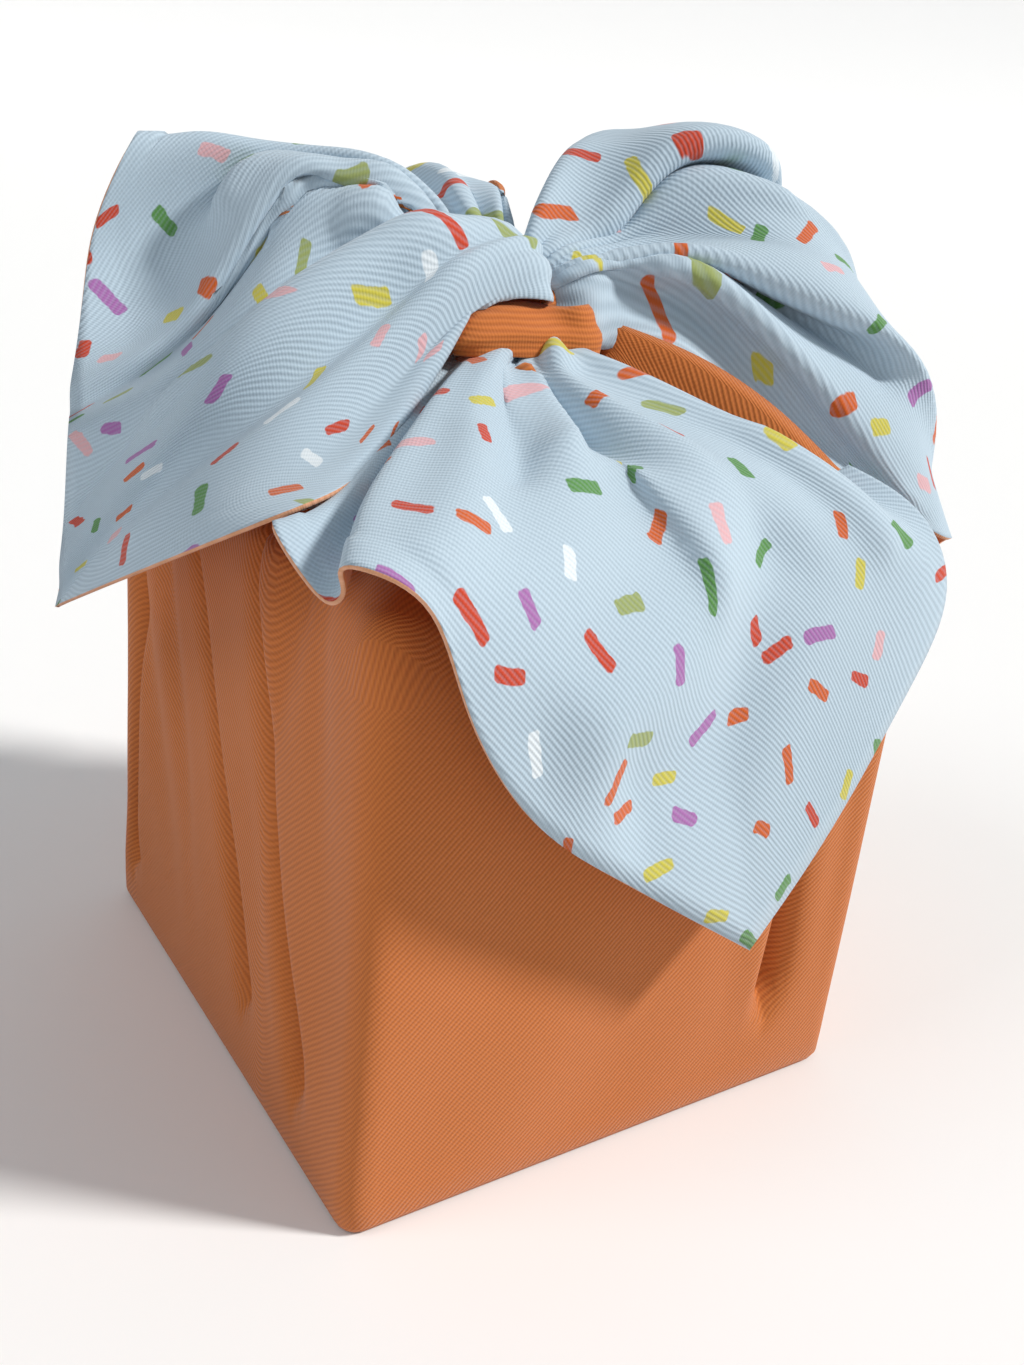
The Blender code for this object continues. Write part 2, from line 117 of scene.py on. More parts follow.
# Open troughs, where the cloth only dips: their places at the top and at the foot of the wall.
TROUGHS = (
    # trough                 at_top at_foot fades_at depth width
    ("front right, low",       64.0,   74.0,   14.0,   1.3,  4.6),
    ("front right, edge",      93.0,   97.0,   10.0,   1.2,  3.6),
    ("front, faint",           30.0,   22.0,   30.0,   0.5,  9.0),
    ("left, thin",            -82.0,  -62.0,    8.0,   1.9,  3.4),
    ("left, short",           -27.0,  -33.0,   64.0,   2.0,  3.2),
    ("left, low",             -20.0,   -9.0,   34.0,   1.4,  4.5),
    ("left, back",            -99.0,  -73.0,    8.0,   2.4,  4.2),
    ("right, soft",           172.0,  176.0,   20.0,   1.0,  6.0),
    ("right, soft front",     140.0,  134.0,   10.0,   1.0,  6.0),
    ("back, soft",            246.0,  240.0,   16.0,   1.0,  6.0),
    ("back, soft left",       278.0,  284.0,   14.0,   1.0,  6.0),
)
TROUGH_TOP = 96.0
# Gathered cloth that stands up between two tails: the crest's outer end, its end at the neck, how far
# it bulges over the straight line between them, and its width.
RIDGES = (
    # ridge          from_x  from_y from_z   to_x   to_y   to_z bulge width
    ("front left",    -48.0,  -51.0, 105.0,  -6.0, -12.0, 124.0,  1.0,  4.5),
    ("front right",    48.0,  -38.5, 107.5,  13.0,  -9.5, 131.0,  4.2,  3.6),
    ("back left",     -44.0,   46.0, 105.0,  -6.0,  12.0, 124.0,  1.0,  5.0),
)
# Behind the knot the gathers part in a slot.
SLOT_FROM, SLOT_TO, SLOT_HALF = np.array([7.0, 11.5]), np.array([20.5, 31.0]), 3.4
# On the walls the ribs rise to the right on the front and on the back, and to the left on the two
# sides. They turn at these places, in the pleats beside the upright edges.
RIB_TURNS = np.array([-AROUND / 4, -34.0, 118.0, 226.0, 328.0, AROUND])
RIB_SLOPES = np.array([-1, 1, -1, 1, -1])


def ease(values):
    """Moves each value but the first and the last halfway to the middle of its neighbours."""
    values[1:-1] += (values[2:] + values[:-2] - 2 * values[1:-1]) / 4


def beside(points, start, end):
    """For points in plan: the share of the way along a straight line to which each is nearest, and its
    distance from there."""
    run = end - start
    share = np.clip((points - start) @ run / (run @ run), 0, 1)
    return share, np.linalg.norm(points - start - share[..., None] * run, axis=2)


def pleat_places(z):
    """Places of the pleats' lips at each height, and how far each pleat is laid there, from 0 to 1."""
    table = np.array([row[1:] for row in PLEATS])
    heights = np.array(PLEAT_HEIGHTS)[::-1]
    places = np.array([np.interp(z, heights, row[3::-1]) for row in table]).T
    laid = np.clip((z[:, None] - table[:, 4]) / (PLEAT_HEIGHTS[0] - table[:, 4]), 0, 1)
    return places, laid ** 0.8


def outline(places, z):
    """Points of the walls' outline, with rounded upright edges, at places along the sharp one, rows by
    height. A place in an edge's square is moved out from the rounding's centre to its radius."""
    corners = np.array([(-1, -1), (1, -1), (1, 1), (-1, 1), (-1, -1)]) * [WIDTH / 2, DEPTH / 2]
    starts = np.cumsum([0, WIDTH, DEPTH, WIDTH, DEPTH])
    sharp = np.stack([np.interp(places % AROUND, starts, corners[:, axis]) for axis in (0, 1)], axis=2)
    rounded = sharp.copy()
    for _, side_x, side_y, foot, top in EDGES:
        radius = (foot + (top - foot) * np.clip(z / HEIGHT, 0, 1))[:, None]
        away = sharp - np.stack([side_x * (WIDTH / 2 - radius), side_y * (DEPTH / 2 - radius)], axis=2)
        near = (away[..., 0] * side_x > 0) & (away[..., 1] * side_y > 0)
        reach = np.maximum(np.linalg.norm(away, axis=2), 1e-6)
        moved = sharp - away + away / reach[..., None] * radius[..., None]
        rounded = np.where(near[..., None], moved, rounded)
    return rounded


def inward(places, blend=7.0):
    """Unit vectors from the walls to the inside, turning evenly past each upright edge, over a blend of
    so many mm on either side."""
    edges = np.array([0.0, WIDTH, WIDTH + DEPTH, 2 * WIDTH + DEPTH])
    knots = np.concatenate([np.repeat(edges, 2) + np.tile([-blend, blend], 4), [AROUND - blend]])
    turns = np.radians(np.append(np.repeat([0.0, 90.0, 180.0, 270.0, 360.0], 2)[1:9], 360.0))
    angle = np.interp((places + blend) % AROUND - blend, knots, turns)
    return np.stack([np.cos(angle), np.sin(angle)], axis=-1)


def bag_profile():
    """The bag's rows from the middle of the base to the neck: the distance run, the inset from the
    walls' outline, the height, and how far the outline is the neck's. The rings are joined by straight
    lines, which are then smoothed by moving each point towards its neighbours' middle."""
    rings = np.array([row[1:] for row in BAG_RINGS])
    sizes = np.hypot(np.hypot(np.diff(rings[:, 0]), np.diff(rings[:, 1])),
                     np.diff(rings[:, 2]) * ROUNDING_RUN)
    reach = np.concatenate([[0], np.cumsum(sizes)])
    shoulder = reach[3] + SHOULDER_Z - rings[3, 1]
    up = np.concatenate([BASE_ROWS, [reach[1] - BASE_LIP, reach[1], reach[2], reach[3]],
                         np.arange(reach[3] + WALL_STEP, shoulder, WALL_STEP),
                         np.arange(shoulder, reach[-1], TOP_STEP), [reach[-1]]])
    fine = np.linspace(0, reach[-1], PROFILE_POINTS)
    profile = np.stack([np.interp(fine, reach, rings[:, axis]) for axis in range(3)], axis=1)
    for _ in range(PROFILE_SMOOTHINGS):
        ease(profile)
    profile[fine < reach[1] - BASE_LIP, 1] = 0.0
    return (up - reach[1], *(np.interp(up, fine, profile[:, axis]) for axis in range(3)))


def pleated_columns(z, roundness):
    """Places and depths of the grid's columns, rows by height: each pleat's section about its lip, with
    even columns between two pleats. Low down a pleat is an open trough, from the section's flat places;
    it deepens first, and then its layers slide over to the laid places."""
    lips, laid = pleat_places(z)
    section = np.array([row[1:] for row in PLEAT_SECTION])
    columns = [np.full(int(count), 1 / count) for count in section[1:, 4]]
    picks = np.concatenate([[0.0], np.cumsum(np.concatenate(columns))])
    flat, still, tucked, depth = (np.interp(picks, np.arange(len(section)), section[:, k]) for k in range(4))
    ease(still)
    ease(depth)
    blocks, depths = [], []
    for index, (*_, tuck, side) in enumerate(PLEATS):
        turned = slice(None, None, side)
        before, laid_at = (flat[turned] * side, (still + tucked * tuck)[turned] * side)
        share = np.clip(laid[:, index:index + 1] * 1.12 - 0.12, 0, 1)
        blocks.append(lips[:, index:index + 1] + before * (1 - share) + laid_at * share)
        sunk = np.clip(laid[:, index:index + 1] / 0.2, 0, 1)
        sunk = sunk * sunk * (3 - 2 * sunk)
        depths.append(depth[turned] * sunk * np.clip(1.25 - 0.6 * roundness, 0.5, 1)[:, None])
    places, sinks = [], []
    for index, block in enumerate(blocks):
        places.append(block)
        sinks.append(depths[index])
        following = blocks[(index + 1) % len(blocks)][:, 0] + (AROUND if index + 1 == len(blocks) else 0)
        gap = following - block[:, -1]
        count = max(2, int(round(gap.max() / FILL_COLUMN)))
        places.append(block[:, -1:] + gap[:, None] * np.linspace(0, 1, count + 1)[1:-1])
        sinks.append(np.zeros((len(z), count - 1)))
    places, sinks = np.concatenate(places, axis=1), np.concatenate(sinks, axis=1)
    # The grid's two sides meet where the last pleat turns inside, out of sight.
    seam = places.shape[1] - count + 1 - len(flat) + int(np.argmax((still + tucked * tuck)[::-1][::side]))
    places = np.concatenate([places[:, seam:] - AROUND, places[:, :seam + 1]], axis=1)
    sinks = np.concatenate([sinks[:, seam:], sinks[:, :seam + 1]], axis=1)
    return places, sinks


def ribbed_flat(points, places, climb):
    """Flat places of the bag's cloth, in mm. Up the wall they are the climb and a zigzag of the places,
    whose slope changes sign at each turn of the ribs; on the base they are x and y, turned by 45
    degrees."""
    fine_at = np.linspace(RIB_TURNS[0], RIB_TURNS[-1], 4000)
    slopes = RIB_SLOPES[np.clip(np.searchsorted(RIB_TURNS, fine_at) - 1, 0, 4)].astype(float)
    kernel = np.hanning(80) / np.hanning(80).sum()
    slopes = np.convolve(np.pad(slopes, 40, mode="edge"), kernel, mode="same")[40:-40]
    zigzag = np.concatenate([[0], np.cumsum((slopes[1:] + slopes[:-1]) / 2 * np.diff(fine_at))])
    rise = np.interp(places, fine_at, zigzag)
    on_wall = np.stack([rise + climb, rise - climb], axis=2) / np.sqrt(2)
    x, y = points[..., 0], points[..., 1]
    on_base = np.stack([x - y, x + y], axis=2) / np.sqrt(2)
    return np.where((climb < 0.5)[..., None], on_base, on_wall)


def bag_surface():
    """The bag as a grid: rows up the wall and over the top, columns round the outline with the hidden
    layers of the pleats among them. Gives its points, its flat places, and which faces to leave out."""
    climb, inset, z, roundness = bag_profile()
    places, sinks = pleated_columns(z, roundness)
    points = outline(places, z) * \
        (1 - np.minimum(inset, BASE_MIDDLE)[:, None, None] / np.array([WIDTH / 2, DEPTH / 2]))
    points[0] = 0.0
    on_wall = np.clip((z - 2) / 10, 0, 1) * np.clip(1 - roundness * 1.6, 0, 1)
    for _, at_top, at_foot, fades_at, deep, width in TROUGHS:
        share = np.clip((z - fades_at) / (TROUGH_TOP - fades_at), 0, 1)
        line = at_foot + (at_top - at_foot) * share
        away = (places - line[:, None] + AROUND / 2) % AROUND - AROUND / 2
        sinks = sinks + (deep * share * on_wall)[:, None] * np.exp(-(away / width) ** 2)
    turn = places * 2 * np.pi / AROUND
    waviness = 0.28 * np.sin(7 * turn + 1.3) * np.sin(z[:, None] / 21 + 2 * turn) \
        + 0.2 * np.sin(13 * turn - z[:, None] / 14)
    sinks = sinks + waviness * on_wall[:, None]
    swell = TOP_FOLD_HEIGHT \
        * np.sin(TOP_FOLDS * turn + 0.9 * np.sin(5 * turn + 1) + 0.7 * np.sin(11 * turn)) \
        * (np.clip(roundness / 0.25, 0, 1) * (1 - 0.45 * roundness))[:, None]
    # The outline turns into the neck's circle as the roundness grows.
    points = points + inward(places) * (sinks * (roundness < 0.999)[:, None])[..., None]
    radial = points - np.array([0.0, NECK_Y])
    radial /= np.maximum(np.linalg.norm(radial, axis=2, keepdims=True), 1e-6)
    circle = np.array([0.0, NECK_Y]) + radial * (NECK_RADIUS - 0.35 * sinks + swell)[..., None]
    points = points * (1 - roundness)[:, None, None] + circle * roundness[:, None, None]
    high = z[:, None] - sinks * np.clip(roundness * 2.5, 0, 0.8)[:, None] + swell * (1 - roundness)[:, None]
    for _, from_x, from_y, from_z, to_x, to_y, to_z, bulge, width in RIDGES:
        share, aside = beside(points, np.array([from_x, from_y]), np.array([to_x, to_y]))
        crest = from_z + (to_z - from_z) * share + bulge * np.sin(np.pi * share)
        high += np.maximum(crest - z[:, None], 0) * np.exp(-(aside / width) ** 2) * (roundness > 0)[:, None]
    points = np.concatenate([points, high[..., None]], axis=2)

    _, aside = beside((points[1:, 1:, :2] + points[:-1, :-1, :2]) / 2, SLOT_FROM, SLOT_TO)
    cut = (aside < SLOT_HALF) & (roundness[1:, None] > 0.3) & (roundness[1:, None] < 0.99)
    return points, ribbed_flat(points, places, climb[:, None]), cut


# The four tails. Each is a fan of lines from the knot to the cut edge, a line on each ridge or in each
# valley, listed from one hem to the other. The lowest end is the corner of the square.
LEFT_TAIL = (
    # line               at the knot            near                   middle
    #                    far                    low                    edge
    ("tucked hem",      (-3, 9, 139),          (-8, 24, 140),         (-14, 34, 138),
                        (-19, 41, 135),        (-22, 45, 132),        (-26, 48, 128)),
    ("back slope",      (-4, 9, 141),          (-11, 22, 145),        (-18, 34, 147),
                        (-27, 43, 146),        (-34, 49, 144),        (-42, 54, 140)),
    ("crest",           (-4.5, 11, 140),       (-12, 20, 149),        (-24, 33, 151.5),
                        (-37, 39, 152.5),      (-43, 41, 152),        (-49, 42, 151.5)),
    ("front of crest",  (-6, 11, 139.5),       (-12, 17.5, 148),      (-23, 29.5, 149),
                        (-36, 36.5, 149),      (-48, 39.5, 145),      (-56, 40, 140.5)),
    ("behind roll",     (-7, 11, 138.5),       (-11.5, 16, 145),      (-20, 28, 146.5),
                        (-35, 35.5, 143),      (-48, 38, 134),        (-60, 37, 128)),
    ("roll",            (-8, 9.5, 139.5),      (-15.5, 13, 149),      (-22.5, 20, 151),
                        (-33, 26, 148.5),      (-46.5, 27, 127.5),    (-64, 30, 116.5)),
    ("lip",             (-8.5, 8.5, 139),      (-16.5, 9.5, 146),     (-24.5, 15, 148),
                        (-33, 20, 145.5),      (-46, 22, 127),        (-65, 28.5, 113)),
    ("hollow",          (-8, 9, 137.5),        (-13.5, 13.5, 143.5),  (-21, 22, 144.5),
                        (-30.5, 25, 141),      (-44.5, 23, 124.5),    (-65.5, 27, 110)),
    ("second panel",    (-9, 7, 138),          (-17, 9, 143.5),       (-27.5, 13, 142),
                        (-39.5, 12, 134),      (-53, 16, 119.5),      (-66, 26, 108)),
    ("long valley",     (-9, 5, 136.5),        (-16, 8, 141.5),       (-26.5, 9.5, 136.5),
                        (-41, 7, 128),         (-54, 10.5, 116.5),    (-67, 26, 96)),
    ("upper panel",     (-3, 4, 142),          (-14, 3, 144.5),       (-26.5, 2, 140.5),
                        (-43.5, 0, 131),       (-57.5, 5, 113),       (-67, 30, 85)),
    ("to the corner",   (1, 2, 142),           (-10.5, -1, 143),      (-26, -3, 135.5),
                        (-46, -5, 122),        (-60.5, 8, 101.5),     (-67, 34.5, 74)),
    ("lower panel",     (2, -1, 141),          (-8.5, -4, 141.5),     (-25, -7, 131),
                        (-45.5, -13, 117.5),   (-59, -14, 107.5),     (-66.6, -14, 98.7)),
    ("over the knot",   (1.5, -4, 139.5),      (-7, -6, 140),         (-24, -10, 127),
                        (-42.5, -20, 116),     (-52.5, -28, 113),     (-55.5, -36, 113)),
    ("front of knot",   (0.5, -7, 137),        (-5, -8, 137.5),       (-20, -10, 128.5),
                        (-33, -18, 119.5),     (-41.5, -25, 115.5),   (-43.5, -30, 114.5)),
    ("front hem",       (0, -9, 134.4),        (-6, -8.5, 135),       (-13, -8.5, 133.5),
                        (-19, -11, 127.5),     (-25.5, -15, 122),     (-29.5, -18, 119.5)),
)
FRONT_TAIL = (
    # line               at the knot            near                   middle
    #                    far                    edge
    ("tucked hem",      (-9, -1, 126),         (-19, -6, 122),        (-30, -13, 117),
                        (-44, -26, 111.5),     (-53, -36, 108.5)),
    ("back layer",      (-10, -3, 126.5),      (-19, -9, 124),        (-31.5, -20, 118.5),
                        (-47.5, -36, 114.5),   (-60.5, -42, 113.5)),
    ("its low side",    (-10, -4.5, 126.5),    (-20, -11.5, 122),     (-32.5, -23, 116.5),
                        (-49, -41, 111),       (-59, -50, 108.5)),
    ("its corner",      (-10, -5.5, 126.5),    (-20.5, -13.5, 122),   (-32, -25, 117),
                        (-48, -43.5, 111.5),   (-58, -55, 108)),
    ("under fold",      (-10, -6, 126.8),      (-21, -15, 123),       (-31.5, -25, 118.5),
                        (-46.5, -42, 114.5),   (-57, -56, 110)),
    ("left fold",       (-10.5, -7, 127.3),    (-22, -17, 124.7),     (-32, -26, 121.5),
                        (-47, -42, 118),       (-58.5, -58, 113.5)),
    ("fold crest",      (-10.5, -8, 127.8),    (-21.5, -19, 125),     (-31.5, -30, 121),
                        (-46, -47, 117.5),     (-57, -62, 114.5)),
    ("left panel",      (-9.5, -9, 128),       (-19.5, -21, 125),     (-29, -34, 121),
                        (-43.5, -54, 116.5),   (-51, -65, 110.5)),
    ("left side",       (-8, -9.5, 128),       (-16.5, -20, 124.7),   (-26, -36, 119.7),
                        (-37.5, -59, 112),     (-45, -66, 97)),
    ("lip of crease",   (-6.5, -10.5, 128),    (-13.5, -21, 125.5),   (-16.5, -34, 120.5),
                        (-25.5, -58, 110),     (-34, -66, 79.5)),
    ("crease",          (-4.5, -9.5, 127),     (-7.5, -15, 124),      (-8, -27, 118),
                        (-11.5, -54, 108.5),   (-17, -66, 65)),
    ("to the corner",   (-3.5, -10, 127.3),    (-6.5, -17, 125),      (-3.5, -31, 118.5),
                        (0, -54, 105.7),       (14, -64, 42.5)),
    ("second ridge",    (-1.5, -12, 128.3),    (-4.5, -20, 127),      (2.5, -35, 123.5),
                        (13, -53, 111),        (28.5, -62, 59)),
    ("right shoulder",  (1.5, -12, 128.5),     (2, -19, 127.5),       (13, -34, 120.5),
                        (31.5, -51, 107),      (45, -58, 80.5)),
    ("right corner",    (4, -12, 127.5),       (5.5, -17.5, 127),     (19, -33.5, 121.5),
                        (38, -49.5, 110.5),    (55, -53, 95.5)),
    ("right valley",    (6, -11, 127),         (8, -15.5, 123.5),     (20, -31, 115),
                        (37, -44, 109.5),      (50.5, -48, 107.5)),
    ("right hem",       (7, -10.5, 126),       (8.5, -14.5, 122),     (20, -28, 112),
                        (33, -38, 110.5),      (40.5, -40, 114)),
)
RIGHT_TAIL = (
    # line               at the knot            near                   middle
    #                    far                    low                    edge
    ("back hem",        (2, 4, 139),           (9, 12, 140),          (17, 20, 140.5),
                        (24, 27, 139),         (32, 34, 134),         (44, 42, 122)),
    ("back slope",      (2, 3, 140.5),         (9, 9, 148),           (18, 17, 153.5),
                        (28, 24, 156),         (40, 31, 151),         (56, 42, 138)),
    ("first crest",     (3, 2, 140.5),         (11, 7, 149),          (21, 12, 156),
                        (33, 14, 160),         (48, 19, 158),         (65, 31, 143)),
    ("lip",             (4, 1, 140),           (14, 2, 142.7),        (24, 2, 152.5),
                        (33, -1, 159.4),       (47, -2, 158.6),       (67, 21, 142)),
    ("pocket",          (5, 1.5, 139),         (16, 6, 141.5),        (25, 8.5, 147),
                        (36, 10, 152),         (50, 6, 152.5),        (70, 16, 132)),
    ("main ridge",      (5, 0, 139.5),         (17, 2.5, 141.8),      (26, 2, 148),
                        (34, 2, 154.5),        (50, -7, 150.5),       (72.5, 13, 116)),
    ("main panel",      (6, -1, 139),          (16, 0, 141.5),        (27, -3, 144.5),
                        (40, -11, 147),        (61, -12, 142.5),      (75, 11, 96)),
    ("to the corner",   (6.5, -2, 139),        (15, -3, 140.5),       (27, -7, 143),
                        (43, -17, 143),        (65, -20, 130),        (75, 0, 64)),
    ("low contour",     (7, -4, 138.5),        (14, -4.5, 139.7),     (26, -9.5, 141.5),
                        (40, -19, 138),        (63, -29, 129),        (75, -22, 82)),
    ("crease",          (6, -3, 137),          (18, 0, 138),          (31, -4, 139.5),
                        (44, -12, 134.5),      (58, -25, 126),        (70, -38, 97)),
    ("fold A",          (7, -6, 138),          (13, -7, 139.7),       (22, -13, 140.5),
                        (34, -19, 134.5),      (50, -31, 118.5),      (60.5, -46.5, 101.5)),
    ("under fold A",    (7, -5, 136),          (14, -5, 137),         (26, -7, 136),
                        (38, -15.5, 129),      (48, -26, 117),        (57, -45, 103)),
    ("basin",           (7.5, -7, 133.5),      (13, -8, 134.5),       (25, -11, 131),
                        (36, -17.5, 122.5),    (44, -26, 114),        (52, -41, 106)),
    ("front hem",       (5, -9.5, 129),        (10, -10, 127),        (18, -13.5, 127.5),
                        (27, -20, 122.5),      (35, -28, 117),        (46, -36, 110)),
)
BACK_TAIL = (
    # line               at the knot          near             half way             edge
    ("left hem",        (-5, 8, 138),     (-14, 24, 144),     (-34, 44, 128),      (-44, 56, 110)),
    ("left ridge",      (-4, 9, 139),     (-9, 27, 150),      (-30, 56, 125),      (-38, 68, 96)),
    ("left valley",     (-3, 9, 140),     (-3, 28, 146),      (-18, 60, 118),      (-24, 70, 72)),
    ("to the corner",   (-1, 9, 141),     (2, 30, 150.5),     (-6, 62, 122),       (-4, 69, 46)),
    ("right valley",    (1, 9, 141),      (9, 27, 146),       (8, 60, 117),        (16, 70, 70)),
    ("right ridge",     (3, 9, 141),      (10, 27, 148),      (19, 54, 124),       (32, 66, 92)),
    ("right slope",     (4, 9, 140),      (9, 25, 146),       (20, 46, 128),       (36, 58, 106)),
    ("right hem",       (4, 9, 138),      (8, 21, 141),       (16, 38, 128),       (28, 50, 112)),
)
# ribs_after: whether the ribs run along the hem that follows the corner, or the one before it.
TAILS = (
    # tail     table       ribs_after
    ("left",  LEFT_TAIL,         True),
    ("front", FRONT_TAIL,       False),
    ("right", RIGHT_TAIL,       False),
    ("back",  BACK_TAIL,         True),
)
# Small gathers that leave the knot: between two shares v of the way across, so many waves, so high,
# as far as the share u_end of the way to the edge.
GATHERS = (
    # tail    v_from  v_to  waves height u_end
    ("left",    0.00, 0.46,   5.0,   1.3,  0.50),
    ("left",    0.50, 1.00,   3.5,   0.5,  0.35),
    ("front",   0.05, 0.98,   5.0,   0.9,  0.42),
    ("right",   0.00, 0.50,   4.5,   1.0,  0.45),
    ("right",   0.52, 1.00,   4.0,   0.8,  0.40),
    ("back",    0.00, 0.80,   3.0,   1.3,  0.60),
)
# Soft troughs (depth over 0) and ridges (under 0) in a tail, from one place to another. u is the
# share of the way from the knot to the edge, and v the share of the way across.
CREASES = (
    # tail     crease              u_from v_from  u_to  v_to  depth  width
    ("front", "sharp crease",       0.20,  0.56,  0.45, 0.48,   3.4,   2.8),
    ("front", "its turn",           0.50,  0.50,  0.53, 0.60,   2.4,   4.2),
    ("front", "its end",            0.57,  0.63,  0.66, 0.64,   2.6,   5.0),
    ("front", "broad valley",       0.69,  0.62,  0.86, 0.50,   3.8,   6.5),
    ("front", "lip",                0.15,  0.45,  0.47, 0.42,  -1.8,   2.8),
    ("front", "second ridge",       0.22,  0.75,  0.68, 0.72,  -2.2,   4.5),
    ("front", "its lower part",     0.74,  0.72,  0.92, 0.56,  -2.4,   5.5),
    ("front", "right valley",       0.46,  0.85,  0.72, 0.84,   1.6,   4.0),
    ("front", "left dip",           0.38,  0.36,  0.80, 0.32,   1.0,   5.0),
    ("left",  "behind roll",        0.28,  0.27,  0.66, 0.33,   3.0,   2.8),
    ("left",  "roll",               0.22,  0.38,  0.74, 0.39,  -1.8,   2.4),
    ("left",  "hollow",             0.28,  0.46,  0.58, 0.42,   3.8,   2.8),
    ("left",  "second ridge",       0.40,  0.49,  0.78, 0.49,  -1.2,   3.0),
    ("left",  "long valley",        0.26,  0.60,  0.80, 0.54,   2.0,   4.0),
    ("left",  "panel ridge",        0.40,  0.68,  0.95, 0.63,  -1.0,   5.0),
    ("left",  "panel dip",          0.30,  0.78,  0.85, 0.72,   1.3,   5.5),
    ("right", "lip",                0.20,  0.26,  0.66, 0.28,  -1.0,   2.6),
    ("right", "pocket",             0.20,  0.33,  0.50, 0.33,   2.6,   3.0),
    ("right", "main ridge",         0.18,  0.39,  0.52, 0.45,  -1.6,   2.8),
    ("right", "low contour",        0.18,  0.64,  0.52, 0.70,  -1.0,   3.0),
    ("right", "dark hollow",        0.25,  0.76,  0.64, 0.76,   2.2,   3.0),
    ("right", "fold A",             0.26,  0.84,  0.85, 0.86,  -1.2,   2.6),
    ("right", "over the crest",     0.35,  0.16,  0.90, 0.12,   1.0,   5.0),
    ("right", "down the side",      0.60,  0.52,  0.95, 0.54,   1.0,   6.0),
    ("back",  "left",               0.25,  0.30,  0.90, 0.24,   1.2,   6.0),
    ("back",  "right",              0.25,  0.66,  0.90, 0.72,   1.2,   6.0),
)
KNOT_CENTRE = np.array([0.0, 1.0, 131.5])
TAIL_ACROSS, TAIL_ALONG = 116, 46
# The lines start this share of the way from their first place to the knot's centre. The fan is
# smoothed across so many times, except in its last rows, which keep the edge's corner.
ROOT_SHARE, TAIL_SMOOTHINGS, EDGE_ROWS = 0.55, 6, 6


def spline(knots, values, at):
    """Natural cubic spline: between two knots, the cubic whose bend runs evenly from one to the other."""
    knots, at, values = np.asarray(knots, float), np.asarray(at, float), np.asarray(values, float)
    count, gap = len(knots), np.diff(knots)
    flat = values.reshape(count, -1)
    bend = np.zeros_like(flat)
    if count > 2:
        inner = np.arange(count - 2)
        system = np.zeros((count - 2, count - 2))
        system[inner, inner] = 2 * (gap[:-1] + gap[1:])
        system[inner[1:], inner[:-1]] = gap[1:-1]
        system[inner[:-1], inner[1:]] = gap[1:-1]
        bend[1:-1] = np.linalg.solve(system, 6 * np.diff(np.diff(flat, axis=0) / gap[:, None], axis=0))
    span = np.clip(np.searchsorted(knots, at, side="right") - 1, 0, count - 2)
    width = gap[span][:, None]
    low = (knots[span + 1] - at)[:, None] / width
    high = 1 - low
    curve = ((low ** 3 - low) * bend[span] + (high ** 3 - high) * bend[span + 1]) * width ** 2 / 6
    return (low * flat[span] + high * flat[span + 1] + curve).reshape((len(at),) + values.shape[1:])


def running(steps):
    """Distances along a chain of steps, from 0 to 1."""
    total = np.concatenate([[0.0], np.cumsum(steps)])
    return total / total[-1]


def normals(points):
    """Unit normals of a grid of points: the cross product of its two directions."""
    across, along = np.gradient(points, axis=1), np.gradient(points, axis=0)
    normal = np.cross(across, along)
    return normal / np.maximum(np.linalg.norm(normal, axis=2, keepdims=True), 1e-9)


def fan(table):
    """A tail: the lines are joined by splines across, and run by splines from inside the knot to the
    edge. The edge turns sharply at its lowest point, the corner of the cloth. Also gives the column
    of that corner and the share v of each column."""
    stations = np.array([row[1:] for row in table], float)
    steps = np.linalg.norm(np.diff(stations, axis=0), axis=2)
    v_lines = running(np.sqrt(steps[:, -2:].mean(axis=1)))
    tip = int(np.argmin(stations[:, -1, 2]))
    before = int(round(v_lines[tip] * (TAIL_ACROSS - 1)))
    v = np.concatenate([np.linspace(0, v_lines[tip], before + 1),
                        np.linspace(v_lines[tip], 1, TAIL_ACROSS - before)[1:]])
    lines = spline(v_lines, stations, v)
    lines[:before + 1, -1] = spline(v_lines[:tip + 1], stations[:tip + 1, -1], v[:before + 1])
    lines[before:, -1] = spline(v_lines[tip:], stations[tip:, -1], v[before:])
    root = lines[:, :1] + ROOT_SHARE * (KNOT_CENTRE - lines[:, :1])
    lines = np.concatenate([root, lines], axis=1)
    u_lines = running(np.linalg.norm(np.diff(lines, axis=1), axis=2).mean(axis=0))
    points = spline(u_lines, lines.transpose(1, 0, 2), np.linspace(0, 1, TAIL_ALONG))
    for _ in range(TAIL_SMOOTHINGS):
        ease(points[:-EDGE_ROWS].swapaxes(0, 1))
    return points, before, v


def gathered(points, v, tail):
    """Small folds that leave the knot: waves across the tail with unequal spacing, whose height grows
    quickly away from the knot and dies out at u_end."""
    u = np.linspace(0, 1, len(points))[:, None]
    height = np.zeros(points.shape[:2])
    for name, v_from, v_to, waves, high, u_end in GATHERS:
        if name != tail:
            continue
        share = np.clip((v - v_from) / (v_to - v_from), 0, 1)
        phase = 2 * np.pi * waves * (share + 0.05 * np.sin(7.3 * share + 1.0) + 0.04 * u)
        envelope = np.clip(u / 0.1, 0, 1) * np.clip(1 - u / u_end, 0, 1) * np.sin(np.pi * share) ** 0.5
        height += high * 1.5 * envelope * (np.sin(phase) + 0.35 * np.sin(0.43 * phase + 2.0))
    return points + normals(points) * height[:, :, None]


